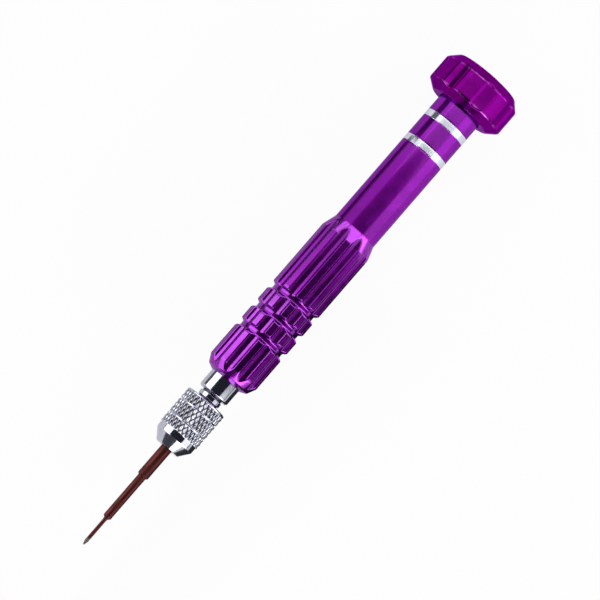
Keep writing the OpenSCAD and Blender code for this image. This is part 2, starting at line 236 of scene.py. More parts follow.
def turned_tree():
    """Turns an outline about the tool's axis and cuts flutes, a diamond knurl and a thread into it."""
    floats = [
        ("Axis Height", 0.0), ("Flute Middle", 1.0), ("Flute Radius", 0.001), ("Flute Turn", 0.0),
        ("Flute From", -1.0), ("Flute To", 1.0), ("Flute Run Out", 0.0), ("Flute Edge", 0.0),
        ("Knurl From", 0.0), ("Knurl To", 0.0), ("Knurl Row", 1.0), ("Knurl Radius", 0.0),
        ("Knurl Depth", 0.0), ("Thread From", 0.0), ("Thread To", 0.0), ("Thread Pitch", 1.0),
        ("Thread Depth", 0.0),
    ]
    counts = [("Points", 2), ("Around", 3), ("Flute Count", 4), ("Knurl Starts", 1)]
    sockets = [("Outline", "INPUT", "NodeSocketGeometry", None),
               ("Piece", "OUTPUT", "NodeSocketGeometry", None)]
    sockets += [(name, "INPUT", "NodeSocketFloat", value) for name, value in floats]
    sockets += [(name, "INPUT", "NodeSocketInt", value) for name, value in counts]
    sockets += [("Finish", "INPUT", "NodeSocketMaterial", None)]
    tree = new_group("turned piece", "GeometryNodeTree", sockets)
    wire = Wiring(tree)
    given = wire.add("NodeGroupInput").outputs
    math_node = wire.math

    # A sheet with one row of points for each outline point, closed round the axis
    rows_wide = math_node("ADD", given["Around"], 1)
    sheet = wire.add("GeometryNodeMeshGrid", {"Vertices X": given["Points"], "Vertices Y": rows_wide})
    index = wire.add("GeometryNodeInputIndex").outputs[0]
    row = math_node("FLOOR", math_node("DIVIDE", math_node("ADD", index, 0.5), rows_wide))
    column = math_node("SUBTRACT", index, math_node("MULTIPLY", row, rows_wide))
    angle = math_node("MULTIPLY", math_node("DIVIDE", column, given["Around"]), math.tau)

    # The outline's station, radius and mark at each row
    place = wire.add("GeometryNodeSampleIndex", {"Geometry": given["Outline"], "Index": row},
                     data_type="FLOAT_VECTOR")
    wire.feed(place.inputs["Value"], wire.add("GeometryNodeInputPosition").outputs[0])
    parts = wire.add("ShaderNodeSeparateXYZ", {0: place.outputs[0]}).outputs
    station, mark, outline_r = parts[0], parts[1], parts[2]

    # Round flutes along the axis, whose middles move outwards past their ends
    spread = math_node("DIVIDE", math.tau, given["Flute Count"])
    half_spread = math_node("DIVIDE", spread, 2)
    off = math_node("WRAP", math_node("SUBTRACT", angle, given["Flute Turn"]), half_spread,
                    math_node("MULTIPLY", half_spread, -1))
    past_rear = math_node("MAXIMUM", math_node("SUBTRACT", station, given["Flute To"]), 0)
    past_front = math_node("MAXIMUM", math_node("SUBTRACT", given["Flute From"], station), 0)
    lift = math_node("MULTIPLY", math_node("ADD", past_rear, past_front), given["Flute Run Out"])
    middle = math_node("ADD", given["Flute Middle"], lift)
    aside = math_node("MULTIPLY", math_node("SINE", off), middle)
    room = math_node("SUBTRACT", math_node("POWER", given["Flute Radius"], 2), math_node("POWER", aside, 2))
    half_chord = math_node("SQRT", math_node("MAXIMUM", room, 0))
    flute_r = math_node("SUBTRACT", math_node("MULTIPLY", math_node("COSINE", off), middle), half_chord)
    flute_r = math_node("ADD", flute_r, math_node("LESS_THAN", room, 0))
    fluted_r = math_node("SMOOTH_MIN", outline_r, flute_r, given["Flute Edge"])
    lip = math_node("ABSOLUTE", math_node("SUBTRACT", outline_r, flute_r))
    lip = math_node("DIVIDE", lip, math_node("MAXIMUM", given["Flute Edge"], MICRON))
    lip = math_node("SUBTRACT", 1, lip, clamp=True)

    # Two crossing sets of knurl lines leave pyramids, and what lies deeper than they are cut stays plain
    along = math_node("DIVIDE", math_node("SUBTRACT", station, given["Knurl From"]), given["Knurl Row"])
    across = math_node("MULTIPLY", angle, math_node("DIVIDE", given["Knurl Starts"], math.pi))
    left = math_node("PINGPONG", math_node("DIVIDE", math_node("ADD", across, along), 2), 0.5)
    right = math_node("PINGPONG", math_node("DIVIDE", math_node("SUBTRACT", across, along), 2), 0.5)
    knurl = math_node("MULTIPLY", math_node("MAXIMUM", left, right), 2)
    in_knurl = math_node("MULTIPLY", math_node("GREATER_THAN", station, given["Knurl From"]),
                         math_node("LESS_THAN", station, given["Knurl To"]))
    sunk = math_node("SUBTRACT", given["Knurl Radius"], fluted_r)
    knurl_cut = math_node("SUBTRACT", math_node("MULTIPLY", knurl, given["Knurl Depth"]), sunk)
    knurl_cut = math_node("MULTIPLY", math_node("MAXIMUM", knurl_cut, 0), in_knurl)
    knurled = math_node("DIVIDE", knurl_cut, math_node("MAXIMUM", given["Knurl Depth"], MICRON))

    # A single thread, which fades in over half a pitch at each end
    wound = math_node("SUBTRACT", math_node("DIVIDE", station, given["Thread Pitch"]),
                      math_node("DIVIDE", angle, math.tau))
    thread = math_node("MULTIPLY", math_node("PINGPONG", wound, 0.5), 2)
    half_pitch = math_node("DIVIDE", given["Thread Pitch"], 2)
    after_start = math_node("SUBTRACT", station, given["Thread From"])
    before_end = math_node("SUBTRACT", given["Thread To"], station)
    fade_in = math_node("DIVIDE", after_start, half_pitch, clamp=True)
    fade_out = math_node("DIVIDE", before_end, half_pitch, clamp=True)
    thread = math_node("MULTIPLY", thread, math_node("MULTIPLY", fade_in, fade_out))

    depth = math_node("MULTIPLY_ADD", thread, given["Thread Depth"], knurl_cut)
    radius = math_node("SUBTRACT", fluted_r, depth)
    edge = math_node("MAXIMUM", mark, lip)
    hollow = math_node("MAXIMUM", math_node("MULTIPLY", mark, -1), math_node("ADD", knurled, thread))
    sideways = math_node("MULTIPLY", math_node("SINE", angle), radius)
    upwards = math_node("MULTIPLY", math_node("COSINE", angle), radius)
    spot = wire.add("ShaderNodeCombineXYZ", {
        "X": station,
        "Y": math_node("MULTIPLY", sideways, -1),
        "Z": math_node("ADD", upwards, given["Axis Height"]),
    })
    shaped = wire.add("GeometryNodeSetPosition",
                      {"Geometry": sheet.outputs["Mesh"], "Position": spot.outputs[0]})
    marks = shaped.outputs[0]
    for label, value in (("edge", edge), ("hollow", hollow)):
        marks = wire.add("GeometryNodeStoreNamedAttribute",
                         {"Geometry": marks, "Name": label, "Value": value}, data_type="FLOAT").outputs[0]
    closed = wire.add("GeometryNodeMergeByDistance", {"Geometry": marks, "Distance": MICRON})
    smooth = wire.add("GeometryNodeSetShadeSmooth", {"Geometry": closed.outputs[0]})
    real = wire.add("GeometryNodeRealizeInstances", {"Geometry": smooth.outputs[0]})
    done = wire.add("GeometryNodeSetMaterial", {"Geometry": real.outputs[0], "Material": given["Finish"]})
    wire.add("NodeGroupOutput", {"Piece": done.outputs[0]})
    return tree


def outline(corners, step, bore_r):
    """Points of an outline from (station, radius, setback) corners: each corner is rounded from its setback
    on both sides, and runs longer than the step are divided, up to the bore's radius more coarsely. The
    second number of a point marks an outer corner with 1, an inner corner and the floor between two inner
    corners with -1."""
    points = []
    for place, (station, radius, setback) in enumerate(corners):
        here = Vector((station, radius))
        if not setback:
            points.append((here, 0.0))
            continue
        before = Vector(corners[place - 1][:2])
        after = Vector(corners[place + 1][:2])
        start = here + (before - here).normalized() * setback
        end = here + (after - here).normalized() * setback
        outer = (here - before).cross(after - here) < 0
        for part in range(ARC_PARTS + 1):
            t = part / ARC_PARTS
            points.append((start.lerp(here, t).lerp(here.lerp(end, t), t), 1.0 if outer else -1.0))
    fine = [points[0]]
    for (a, a_mark), (b, b_mark) in zip(points, points[1:]):
        in_bore = max(a.y, b.y) < bore_r + FINE
        parts = max(1, math.ceil((b - a).length / (BORE_STEP if in_bore else step)))
        for part in range(1, parts):
            fine.append((a.lerp(b, part / parts), min(0.0, max(a_mark, b_mark))))
        fine.append((b, b_mark))
    return [(point.x * MM, mark, point.y * MM) for point, mark in fine]


def turned(name, body, node, corners, finish, slot, around, step, bore_r=0.0, **cuts):
    """Makes one turned piece that stands for a CAD node, with so many points around it."""
    points = outline(corners, step, bore_r)
    mesh = bpy.data.meshes.new(name)
    mesh.from_pydata(points, [], [])
    piece = bpy.data.objects.new(name, mesh)
    bpy.context.scene.collection.objects.link(piece)
    lathe = piece.modifiers.new("lathe", "NODES")
    lathe.node_group = TURNED
    values = {"Points": len(points), "Around": around, "Axis Height": AXIS_Z, "Finish": finish}
    values.update({label.replace("_", " ").title(): value for label, value in cuts.items()})
    for socket in TURNED.interface.items_tree:
        if socket.name in values:
            lathe[socket.identifier] = values[socket.name]
    shown = piece.evaluated_get(bpy.context.evaluated_depsgraph_get())
    piece.data = bpy.data.meshes.new_from_object(shown)
    piece.data.name = name
    piece.modifiers.clear()
    bpy.data.meshes.remove(mesh)
    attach(piece, body)
    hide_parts(node)


def lathe_line_group():
    """Fine rings that a lathe tool leaves round the axis, uneven along and round the piece."""
    tree = new_group("lathe lines", "ShaderNodeTree", [
        ("Position", "INPUT", "NodeSocketVector", None),
        ("Spacing", "INPUT", "NodeSocketFloat", 0.0001),
        ("Height", "OUTPUT", "NodeSocketFloat", None),
    ])
    wire = Wiring(tree)
    given = wire.add("NodeGroupInput").outputs
    along = wire.add("ShaderNodeSeparateXYZ", {0: given["Position"]}).outputs[0]
    rings = wire.add("ShaderNodeTexNoise", {"W": wire.math("DIVIDE", along, given["Spacing"]), "Scale": 1.0,
                                            "Detail": 3.0}, noise_dimensions="1D")
    patches = wire.add("ShaderNodeTexNoise", {"Vector": given["Position"], "Scale": 180.0, "Detail": 2.0})
    strength = wire.ramp(patches.outputs[0], 0.3, 0.7, 0.4, 1.0)
    wire.add("NodeGroupOutput", {"Height": wire.math("MULTIPLY", rings.outputs[0], strength)})
    return tree


def handling_group():
    """Marks of use: soft smudges and thin scratches."""
    tree = new_group("handling marks", "ShaderNodeTree", [
        ("Position", "INPUT", "NodeSocketVector", None),
        ("Smudge", "OUTPUT", "NodeSocketFloat", None),
        ("Scratch", "OUTPUT", "NodeSocketFloat", None),
    ])
    wire = Wiring(tree)
    given = wire.add("NodeGroupInput").outputs
    smudges = wire.add("ShaderNodeTexNoise", {"Vector": given["Position"], "Scale": 240.0, "Detail": 5.0,
                                              "Distortion": 0.6})
    drawn = wire.add("ShaderNodeMapping", {"Vector": given["Position"], "Rotation": (0.3, 0.5, 0.7),
                                           "Scale": (60.0, 900.0, 900.0)})
    lines = wire.add("ShaderNodeTexNoise", {"Vector": drawn.outputs[0], "Scale": 1.0, "Detail": 1.0})
    off_line = wire.math("ABSOLUTE", wire.math("SUBTRACT", lines.outputs[0], 0.5))
    few = wire.add("ShaderNodeTexNoise", {"Vector": given["Position"], "Scale": 420.0})
    scratch = wire.math("MULTIPLY", wire.ramp(off_line, 0.0, 0.012, 1.0, 0.0),
                        wire.ramp(few.outputs[0], 0.55, 0.68))
    wire.add("NodeGroupOutput", {"Smudge": wire.ramp(smudges.outputs[0], 0.35, 0.7), "Scratch": scratch})
    return tree


def edge_rub_and_glint_group():
    """Where an edge is rubbed through, and on the satin cap where a painted glint lies: most on the edge
    itself, in uneven patches.
    """
    tree = new_group("edge rub and glint", "ShaderNodeTree", [
        ("Position", "INPUT", "NodeSocketVector", None),
        ("Edge", "INPUT", "NodeSocketFloat", 0.0),
        ("Amount", "INPUT", "NodeSocketFloat", 0.5),
        ("Rub And Glint", "OUTPUT", "NodeSocketFloat", None),
    ])
    wire = Wiring(tree)
    given = wire.add("NodeGroupInput").outputs
    patches = wire.add("ShaderNodeTexNoise", {"Vector": given["Position"], "Scale": 700.0, "Detail": 4.0})
    reach = wire.math("MULTIPLY", given["Edge"], wire.math("ADD", patches.outputs[0], given["Amount"]))
    wire.add("NodeGroupOutput", {"Rub And Glint": wire.ramp(reach, 0.65, 1.1)})
    return tree


# What marks, painted shade in the hollows and coats do to a finish
SMUDGE_ROUGHER = 0.5
SCRATCH_ROUGHER = 0.15
SCRATCH_DEPTH = 0.4
HOLLOW_SHADE_COVER = 0.9
HOLLOW_SHADE_ROUGHER = 0.3
LINE_STRENGTH = 0.35
COAT_ROUGHNESS = 0.06
COAT_IOR = 1.65
POLISH_FADE = 0.4
BARE_UNEVEN = 0.3
BARE_FADE = (-0.2, 0.3)
SKIN_ROUGHER = 0.15
SKIN_SCALE = 9000.0
SKIN_STRENGTH = 0.4

TURNED = turned_tree()
LATHE_LINES = lathe_line_group()
HANDLING = handling_group()
EDGE_RUB_AND_GLINT = edge_rub_and_glint_group()


def new_material(name):
    material = bpy.data.materials.new(name)
    material.use_nodes = True
    material.node_tree.nodes.clear()
    wire = Wiring(material.node_tree)
    shader = wire.add("ShaderNodeBsdfPrincipled")
    wire.add("ShaderNodeOutputMaterial", {"Surface": shader.outputs[0]})
    position = wire.add("ShaderNodeTexCoord").outputs["Object"]
    return material, wire, shader, position


def mixed(wire, share, first, second):
    """A colour between two, by a share that changes over the surface."""
    node = wire.add("ShaderNodeMix", data_type="RGBA")
    for socket, value in zip((node.inputs[0], node.inputs[6], node.inputs[7]), (share, first, second)):
        wire.feed(socket, value)
    return node.outputs[2]


def metal(name, color, tint, rub_and_glint_color, roughness, rub_and_glint_reach, line_spacing, line_depth, rim_color=None, coat=0.0,
          polish=None, polished_to=0.0, hollow_shade=None, bare_to=None):
    """A turned metal: a little colour variation, lathe lines, handling marks, rubbed edges (on the satin cap
    their lighter colour is a painted glint) and, where asked, a colour of its own at a glancing angle, a
    clear coat with more polish up to a station, painted shade in its hollows or a bare stretch up to a
    station."""
    material, wire, shader, position = new_material(name)
    marks = wire.add("ShaderNodeGroup", node_tree=HANDLING)
    lines = wire.add("ShaderNodeGroup", node_tree=LATHE_LINES)
    rub_and_glint = wire.add("ShaderNodeGroup", node_tree=EDGE_RUB_AND_GLINT)
    for group in (marks, lines, rub_and_glint):
        wire.feed(group.inputs["Position"], position)
    wire.feed(lines.inputs["Spacing"], line_spacing)
    wire.feed(rub_and_glint.inputs["Amount"], rub_and_glint_reach)
    edge = wire.add("ShaderNodeAttribute", attribute_name="edge").outputs["Fac"]
    wire.feed(rub_and_glint.inputs["Edge"], edge)

    shade = mixed(wire, marks.outputs["Smudge"], (*color, 1), (*tint, 1))
    rough = wire.math("MULTIPLY_ADD", marks.outputs["Smudge"], roughness * SMUDGE_ROUGHER, roughness)
    # Painted shade: knurl valleys, thread roots and inner corners turn almost black
    if hollow_shade:
        hollow = wire.add("ShaderNodeAttribute", attribute_name="hollow").outputs["Fac"]
        shade_in_hollow = wire.ramp(hollow, 0.4, 0.9, 0.0, HOLLOW_SHADE_COVER)
        shade = mixed(wire, shade_in_hollow, shade, (*hollow_shade, 1))
        rough = wire.math("MULTIPLY_ADD", shade_in_hollow, HOLLOW_SHADE_ROUGHER, rough)
    if bare_to is not None:
        along = wire.add("ShaderNodeSeparateXYZ", {0: position}).outputs[0]
        uneven = wire.math("MULTIPLY_ADD", marks.outputs["Smudge"], BARE_UNEVEN * MM, along)
        start, end = [(bare_to + fade) * MM for fade in BARE_FADE]
        shade = mixed(wire, wire.ramp(uneven, start, end), (*rub_and_glint_color, 1), shade)
    # Edges take the edge colour: rubbed metal, and on the satin cap a painted glint
    shade = mixed(wire, rub_and_glint.outputs["Rub And Glint"], shade, (*rub_and_glint_color, 1))
    rough = wire.math("MULTIPLY_ADD", marks.outputs["Scratch"], SCRATCH_ROUGHER, rough)
    wire.feed(shader.inputs["Base Color"], shade)
    wire.feed(shader.inputs["Roughness"], rough)
    shader.inputs["Metallic"].default_value = 1.0
    if rim_color:
        shader.inputs["Specular Tint"].default_value = (*rim_color, 1)
    shader.inputs["Coat Weight"].default_value = coat
    shader.inputs["Coat Roughness"].default_value = COAT_ROUGHNESS
    shader.inputs["Coat IOR"].default_value = COAT_IOR
    if polish is not None:
        along = wire.add("ShaderNodeSeparateXYZ", {0: position}).outputs[0]
        clear = wire.ramp(along, (polished_to - POLISH_FADE) * MM, polished_to * MM, polish, coat)
        wire.feed(shader.inputs["Coat Weight"], clear)
    height = wire.math("MULTIPLY_ADD", marks.outputs["Scratch"], -SCRATCH_DEPTH, lines.outputs["Height"])
    bump = wire.add("ShaderNodeBump", {"Strength": LINE_STRENGTH, "Distance": line_depth, "Height": height})
    wire.feed(shader.inputs["Normal"], bump.outputs[0])
    return material


def moulded(name, color, tint, roughness, grain):
    """A moulded plastic or rubber with a fine grained skin."""
    material, wire, shader, position = new_material(name)
    marks = wire.add("ShaderNodeGroup", {"Position": position}, node_tree=HANDLING)
    skin = wire.add("ShaderNodeTexNoise", {"Vector": position, "Scale": SKIN_SCALE, "Detail": 3.0})
    wire.feed(shader.inputs["Base Color"], mixed(wire, marks.outputs["Smudge"], (*color, 1), (*tint, 1)))
    rough = wire.math("MULTIPLY_ADD", marks.outputs["Smudge"], SKIN_ROUGHER, roughness)
    wire.feed(shader.inputs["Roughness"], rough)
    bump = wire.add("ShaderNodeBump",
                    {"Strength": SKIN_STRENGTH, "Distance": grain, "Height": skin.outputs[0]})
    wire.feed(shader.inputs["Normal"], bump.outputs[0])
    return material


def make_bit(finish):
    front, rear, shank_r = span("driver_bit")
    mid = front + BLADE_LEN
    shank = mid + MID_LEN
    turned("bit", "bit", "driver_bit", [
        (front, 0, 0),
        (front, TIP_FLAT_R, FINE),
        (front + TIP_LEN, BLADE_R, BLADE_ROUND),
        (mid - ROOT_FLARE_LEN, BLADE_R, BLADE_ROUND),
        (mid, BLADE_R + ROOT_FLARE, STEP_ROUND),
        (mid, MID_R - BIT_CHAMFER, STEP_ROUND),
        (mid + BIT_CHAMFER, MID_R, FINE),
        (shank, MID_R, FINE),
        (shank, shank_r - BIT_CHAMFER, STEP_ROUND),
        (shank + BIT_CHAMFER, shank_r, FINE),
        (rear - BIT_CHAMFER, shank_r, FINE),
        (rear, shank_r - BIT_CHAMFER, FINE),
        (rear, 0, 0),
    ], finish, "bronze_steel", around=96, step=0.15, flute_count=TIP_FLUTES, flute_middle=BLADE_R * MM,
        flute_radius=TIP_FLUTE_R * MM, flute_turn=math.radians(TIP_FLUTE_TURN),
        flute_to=(front + TIP_FLUTE_LEN) * MM, flute_run_out=TIP_FLUTE_RUN_OUT,
        flute_edge=TIP_FLUTE_EDGE * MM)


def make_nut(finish):
    front, rear, knurl_r = span("chuck_nut")
    knurl = front + NOSE_LEN + PLAIN_LEN
    rim = rear - NUT_RIM_LEN
    row = (rim - knurl - len(KNURL_LINE_ROWS) * KNURL_LINE_W) / KNURL_ROWS
    lines = []
    for count, rows in enumerate(KNURL_LINE_ROWS):
        start = knurl + rows * row + count * KNURL_LINE_W
        end = start + KNURL_LINE_W
        lines += [(start, knurl_r, 0), (start, KNURL_LINE_R, 0), (end, KNURL_LINE_R, 0), (end, knurl_r, 0)]
    turned("nut", "nut", "chuck_nut", [
        (front + LIP_LEN, BIT_HOLE_R, 0),
        (front, BIT_HOLE_R, FINE),
        (front, NOSE_R, FINE),
        (front + NOSE_LEN, PLAIN_R, SOFT),
        (knurl, PLAIN_R, 0),
        (knurl, knurl_r, 0),
        *lines,
        (rear - NUT_RIM_CHAMFER, knurl_r, FINE),
        (rear, knurl_r - NUT_RIM_CHAMFER, FINE),
        (rear, NUT_BORE_R + NUT_MOUTH, FINE),
        (rear - NUT_MOUTH, NUT_BORE_R, 0),
        (front + CONE_END, NUT_BORE_R, 0),
        (front + CONE_END, JAW_R, 0),
        (front + LIP_LEN, JAW_NOSE_R, 0),
        (front + LIP_LEN, BIT_HOLE_R, 0),
    ], finish, "chuck_plating", around=KNURL_START_POINTS * KNURL_STARTS, step=row / KNURL_ROW_POINTS,
        bore_r=NUT_BORE_R, knurl_from=knurl * MM, knurl_to=rim * MM, knurl_row=row * MM,
        knurl_radius=knurl_r * MM, knurl_starts=KNURL_STARTS, knurl_depth=KNURL_DEPTH * MM)


def make_chuck_body(finish):
    front, rear, collar_r = span("chuck_body")
    collar = span("grip_handle")[0] - COLLAR_LEN
    ring_end = collar - RELIEF_LEN
    ring = ring_end - NECK_RING_LEN
    thread_end = ring - RUN_OUT_LEN
    tip = span("driver_bit")[0]
    turned("chuck_body", "handle", "chuck_body", [
        (tip + SHANK_BORE_END, 0, 0),
        (tip + SHANK_BORE_END, SHANK_BORE_R, 0),
        (tip + STEM_BORE_END, SHANK_BORE_R, 0),
        (tip + STEM_BORE_END, STEM_BORE_R, 0),
        (front + STEM_MOUTH_LEN, STEM_BORE_R, 0),
        (front, STEM_BORE_R + STEM_MOUTH, 0),
        (front, THREAD_R - THREAD_CHAMFER, 0),
        (front + THREAD_CHAMFER, THREAD_R, 0),
        (thread_end, THREAD_R, 0),
        (thread_end, RELIEF_R, FINE),
        (ring, RELIEF_R, FINE),
        (ring, THREAD_R, FINE),
        (ring_end, THREAD_R, FINE),
        (ring_end, RELIEF_R, FINE),
        (collar, RELIEF_R, FINE),
        (collar, collar_r - COLLAR_CHAMFER, 0),
        (collar + COLLAR_CHAMFER, collar_r, COLLAR_ROUND),
        (collar + COLLAR_LEN, collar_r, FINE),
        (collar + COLLAR_LEN, SPIGOT_R, 0),
        (rear - COLLAR_CHAMFER, SPIGOT_R, 0),
        (rear, SPIGOT_R - COLLAR_CHAMFER, 0),
        (rear, 0, 0),
    ], finish, "chuck_plating", around=144, step=0.1, thread_from=front * MM,
        thread_to=thread_end * MM, thread_pitch=THREAD_PITCH * MM, thread_depth=THREAD_DEPTH * MM)


def make_grip(finish):
    front, rear, grip_r = span("grip_handle")
    shoulder = front + GRIP_LEN
    seam = rear - JOINT_LEN
    thread_step = THREAD_PITCH / JOINT_PITCH_POINTS
    thread_rows = math.floor((JOINT_LEN - JOINT_CHAMFER) / thread_step)
    grooves = []
    for count in range(GROOVE_COUNT):
        middle = front + GROOVE_START + count * GROOVE_PITCH
        grooves += [
            (middle - GROOVE_W / 2, grip_r, SOFT),
            (middle - GROOVE_FLOOR_W / 2, grip_r - GROOVE_DEPTH, SOFT),
            (middle + GROOVE_FLOOR_W / 2, grip_r - GROOVE_DEPTH, SOFT),
            (middle + GROOVE_W / 2, grip_r, SOFT),
        ]
    turned("grip", "handle", "grip_handle", [
        (front + SPIGOT_LEN + SPIGOT_ROOM, 0, 0),
        (front + SPIGOT_LEN + SPIGOT_ROOM, SPIGOT_R + SPIGOT_FIT, 0),
        (front, SPIGOT_R + SPIGOT_FIT, 0),
        (front, FRONT_FACE_R, FINE),
        (front + FRONT_BEVEL_LEN, FRONT_BEVEL_R, BEVEL_ROUND),
        (front + FRONT_ROUND_LEN, grip_r, BEVEL_ROUND),
        *grooves,
        (shoulder - REAR_BEVEL_LEN, grip_r, BEVEL_ROUND),
        (shoulder, TUBE_R, FINE),
        (seam - SEAM_EDGE, TUBE_R, 0),
        (seam, TUBE_R, 0),
        *[(seam + row * thread_step, JOINT_R, 0) for row in range(thread_rows)],
        (rear - JOINT_CHAMFER, JOINT_R, 0),
        (rear, JOINT_R - JOINT_CHAMFER, 0),
        (rear, STORE_R, 0),
        (rear - STORE_LEN, STORE_R, 0),
        (rear - STORE_LEN, 0, 0),
    ], finish, "purple_anodised", around=300, step=0.3, bore_r=STORE_R, flute_count=FLUTE_COUNT,
        flute_middle=(grip_r - FLUTE_DEPTH + FLUTE_R) * MM, flute_radius=FLUTE_R * MM,
        flute_turn=math.radians(FLUTE_TURN), flute_edge=FLUTE_EDGE * MM,
        thread_from=(seam + JOINT_THREAD_START) * MM, thread_to=(rear - JOINT_THREAD_STOP) * MM,
        thread_pitch=THREAD_PITCH * MM, thread_depth=THREAD_DEPTH * MM)


def make_tube(finish):
    front, rear, tube_r = span("rear_tube")
    grooves = []
    for ring in ("front_trim_ring", "rear_trim_ring"):
        ring_front, ring_rear, _ = span(ring)
        grooves += [
            (ring_front, tube_r, FINE),
            (ring_front, tube_r - TRIM_T, 0),
            (ring_rear, tube_r - TRIM_T, 0),
            (ring_rear, tube_r, FINE),
        ]
    turned("tube", "tube", "rear_tube", [
        (front + SEAM_GAP, JOINT_BORE_R, 0),
        (front + SEAM_GAP, tube_r, 0),
        (front + SEAM_GAP + SEAM_EDGE, tube_r, 0),
        *grooves,
        (rear, tube_r, FINE),
        (rear, TUBE_BORE_R, 0),
        (front + JOINT_BORE_LEN, TUBE_BORE_R, 0),
        (front + JOINT_BORE_LEN, JOINT_BORE_R, 0),
        (front + SEAM_GAP, JOINT_BORE_R, 0),
    ], finish, "purple_anodised", around=180, step=0.3, bore_r=JOINT_BORE_R)


def make_trim_ring(name, node, finish):
    front, rear, ring_r = span(node)
    inner_r = ring_r - TRIM_T + TRIM_FIT
    turned(name, "tube", node, [
        (front + TRIM_FIT, inner_r, 0),
        (front + TRIM_FIT, ring_r, FINE),
        (rear - TRIM_FIT, ring_r, FINE),
        (rear - TRIM_FIT, inner_r, 0),
        (front + TRIM_FIT, inner_r, 0),
    ], finish, "bright_trim", around=180, step=0.2)


def make_cap(finish):
    front, rear, cap_r = span("swivel_cap")
    rim = rear - DOME_H
    dome_r = (CAP_RIM_R ** 2 + DOME_H ** 2) / (2 * DOME_H)
    dome = []
    for part in range(1, DOME_PARTS + 1):
        radius = CAP_RIM_R * (1 - part / DOME_PARTS)
        dome.append((rear - dome_r + math.sqrt(dome_r ** 2 - radius ** 2), radius, 0))
    turned("cap", "cap", "swivel_cap", [
        (front + BALL_POCKET_LEN, 0, 0),
        (front + BALL_POCKET_LEN, BALL_POCKET_R, 0),
        (front + JOURNAL_BORE_LEN, BALL_POCKET_R, 0),
        (front + JOURNAL_BORE_LEN, JOURNAL_BORE_R, 0),
        (front + SNAP_ROOM_TO, JOURNAL_BORE_R, 0),
        (front + SNAP_ROOM_TO, SNAP_ROOM_R, 0),
        (front + SNAP_ROOM_FROM, SNAP_ROOM_R, 0),
        (front + SNAP_ROOM_FROM, JOURNAL_BORE_R, 0),
        (front + RECESS_LEN, JOURNAL_BORE_R, 0),
        (front + RECESS_LEN, RECESS_R, 0),
        (front, RECESS_R, FINE),
        (front, CAP_FRONT_R, CAP_ROUND),
        (front + CAP_FRONT_LEN, cap_r, CAP_FRONT_ROUND),
        (rim - CAP_REAR_LEN, cap_r, CAP_ROUND),
        (rim, CAP_RIM_R, CAP_ROUND),
        *dome,
    ], finish, "purple_anodised", around=320, step=0.25, bore_r=RECESS_R, flute_count=SCALLOP_COUNT,
        flute_middle=(cap_r - SCALLOP_DEPTH + SCALLOP_R) * MM, flute_radius=SCALLOP_R * MM,
        flute_turn=math.radians(SCALLOP_TURN), flute_edge=SCALLOP_EDGE * MM)


def make_floor():
    """A white floor that shows white to the camera and in the metal, and keeps a soft shadow."""
    half = 6.0
    seen_white = 0.95
    mirrored_white = 0.33
    corners = [(-half, -half, 0), (half, -half, 0), (half, half, 0), (-half, half, 0)]
    mesh = bpy.data.meshes.new("floor")
    mesh.from_pydata(corners, [], [(0, 1, 2, 3)])
    floor = bpy.data.objects.new("floor", mesh)
    bpy.context.scene.collection.objects.link(floor)
    material = bpy.data.materials.new("white floor")
    material.use_nodes = True
    material.node_tree.nodes.clear()
    wire = Wiring(material.node_tree)
    lit = wire.add("ShaderNodeBsdfDiffuse", {"Color": (0.65, 0.65, 0.65, 1)})
    white = wire.add("ShaderNodeEmission", {"Color": (1, 1, 1, 1), "Strength": 1.0})
    ray = wire.add("ShaderNodeLightPath").outputs
    mirrored = wire.math("ADD", ray["Is Glossy Ray"], ray["Is Transmission Ray"])
    share = wire.math("MULTIPLY_ADD", ray["Is Camera Ray"], seen_white,
                      wire.math("MULTIPLY", mirrored, mirrored_white))
    mix = wire.add("ShaderNodeMixShader", {0: share, 1: lit.outputs[0], 2: white.outputs[0]})
    wire.add("ShaderNodeOutputMaterial", {"Surface": mix.outputs[0]})
    mesh.materials.append(material)


def make_world():
    """A studio room with dim walls and a dark ceiling, which the metal shows between the lights."""
    walls = (0.07, 0.07, 0.085, 1)
    ceiling = (0.018, 0.018, 0.026, 1)
    world = bpy.data.worlds.new("studio")
    bpy.context.scene.world = world
    world.use_nodes = True
    world.node_tree.nodes.clear()
    wire = Wiring(world.node_tree)
    toward = wire.add("ShaderNodeTexCoord").outputs["Generated"]
    height = wire.add("ShaderNodeSeparateXYZ", {0: toward}).outputs[2]
    room = mixed(wire, wire.ramp(height, 0.6, 0.75), walls, ceiling)
    back = wire.add("ShaderNodeBackground", {"Color": room, "Strength": 1.0})
    wire.add("ShaderNodeOutputWorld", {"Surface": back.outputs[0]})


def make_board(name, front, rear, foot, top, low, high, color):
    """A dark board beside the tool, which draws a dark line along the shiny pieces, unseen by the camera. It
    goes from its low edge, at the foot's side distance, to its high edge, at the top's."""
    mesh = bpy.data.meshes.new(name)
    corners = [(front, foot, low), (rear, foot, low), (rear, top, high), (front, top, high)]
    mesh.from_pydata(corners, [], [(0, 1, 2, 3)])
    board = bpy.data.objects.new(name, mesh)
    bpy.context.scene.collection.objects.link(board)
    material = bpy.data.materials.new(name)
    material.use_nodes = True
    material.node_tree.nodes["Principled BSDF"].inputs["Base Color"].default_value = (*color, 1)
    mesh.materials.append(material)
    board.visible_camera = False
    board.visible_shadow = False


def make_softbox(name, place, aim_x, width, height, brightness):
    """A soft light that shows in the metal but not to the camera, aimed at a station of the tool."""
    aim = Vector((aim_x, 0.0, 0.01))
    light = bpy.data.lights.new(name, "AREA")
    light.shape = "RECTANGLE"
    light.size = width
    light.size_y = height
    light.energy = math.pi * brightness * width * height
    box = bpy.data.objects.new(name, light)
    bpy.context.scene.collection.objects.link(box)
    facing = (aim - Vector(place)).to_track_quat("-Z", "Y")
    box.matrix_world = Matrix.Translation(place) @ facing.to_matrix().to_4x4()
    box.visible_camera = False


